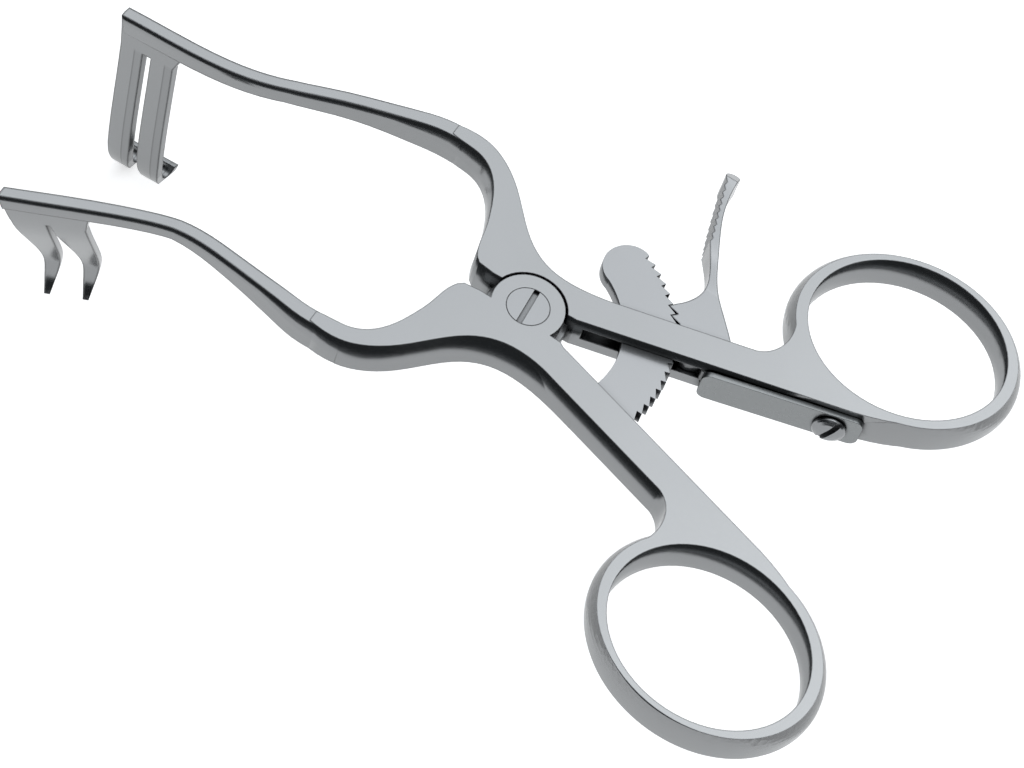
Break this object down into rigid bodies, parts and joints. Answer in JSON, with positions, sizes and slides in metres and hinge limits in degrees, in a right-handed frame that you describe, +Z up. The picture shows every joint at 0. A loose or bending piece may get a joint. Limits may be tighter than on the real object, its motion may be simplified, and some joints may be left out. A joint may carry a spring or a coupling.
{
  "type": "self retaining retractor",
  "caption": "Scissor-like retractor: two hinged arms with finger rings, one long-pronged and one clawed blade, held open by a toothed rack and release lever.",
  "frame": {"origin": "on the axis of the pivot screw, at the level of the arms' flat top faces", "axes": "+X from the pivot between the finger rings, -X towards the blades, +Y towards the pronged arm, +Z up from the top faces, so the blades hang towards -Z"},
  "size_m": [0.1143, 0.073, 0.0379],
  "materials": {
    "arm_steel": "satin stainless steel",
    "ratchet_steel": "satin stainless steel",
    "spring_steel": "satin spring steel, a little darker",
    "screw_steel": "turned stainless steel"
  },
  "bodies": {
    "upper_arm": {"upper_arm": "arm_steel", "lever_pin": "screw_steel", "spring_screw": "screw_steel", "pivot_screw": "screw_steel"},
    "lower_arm": {"lower_arm": "arm_steel", "ratchet_rack": "ratchet_steel"},
    "release_lever": {"release_lever": "ratchet_steel"},
    "leaf_spring": {"leaf_spring": "spring_steel"}
  },
  "joints": [
    {"name": "arms_spread", "type": "hinge", "parent": "upper_arm", "child": "lower_arm", "pos_m": [0, 0, 0], "axis": [0, 0, 1], "range_deg": [-22.2, 31.08]},
    {"name": "lever_release", "type": "hinge", "parent": "upper_arm", "child": "release_lever", "pos_m": [0.018, 0.0073, -0.0024], "axis": [0, 0, -1], "range_deg": [0, 8], "stiffness_Nm_per_rad": 0.02, "springref_deg": -5.73},
    {"name": "spring_flex", "type": "hinge", "parent": "upper_arm", "child": "leaf_spring", "pos_m": [0.03902, 0.01124, -0.003], "axis": [0, 0, 1], "range_deg": [0, 0.96]}
  ],
  "couplings": [
    {"joint": "spring_flex", "follows": "lever_release", "ratio": 0.12}
  ]
}
